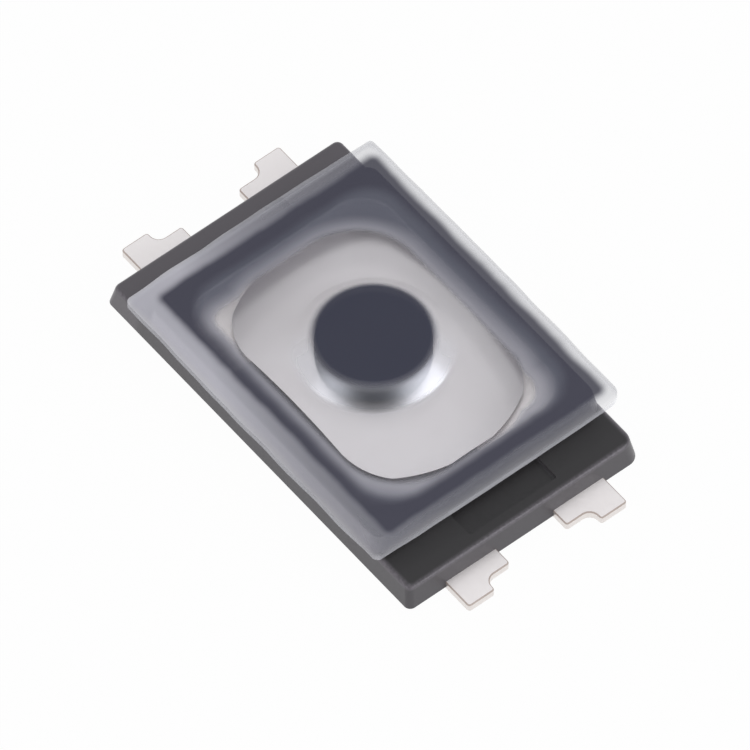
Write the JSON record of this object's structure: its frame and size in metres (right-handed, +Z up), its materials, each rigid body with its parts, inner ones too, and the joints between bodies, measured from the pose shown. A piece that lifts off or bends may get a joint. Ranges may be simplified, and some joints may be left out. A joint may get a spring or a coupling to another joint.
{
  "type": "tactile push button switch",
  "caption": "Low surface-mount tactile push button switch: black moulded base, snap dome under a clear film, round push plate and flat solder terminals.",
  "frame": {"origin": "middle of the footprint in the solder plane, under the push plate", "axes": "+X along the switch's length, +Y across it, +Z up through the push plate"},
  "size_m": [0.003, 0.0018, 0.0004],
  "materials": {
    "moulding": "matt black moulded resin",
    "contact_sheet": "silver-plated brass sheet, satin",
    "dome_sheet": "silver-plated stainless spring sheet, satin",
    "plate": "matt dark resin",
    "film": "clear, slightly hazy plastic film"
  },
  "bodies": {
    "switch_body": {"housing": "moulding", "centre_contact": "contact_sheet", "first_outer_contact": "contact_sheet", "second_outer_contact": "contact_sheet", "cover_film": "film"},
    "button": {"push_plate": "plate", "dome": "dome_sheet"}
  },
  "joints": [
    {"name": "press", "type": "slide", "parent": "switch_body", "child": "button", "axis": [0, 0, -1], "range_m": [0, 0.0001], "stiffness_N_per_m": 16000, "deforming": ["dome", "cover_film"]}
  ]
}
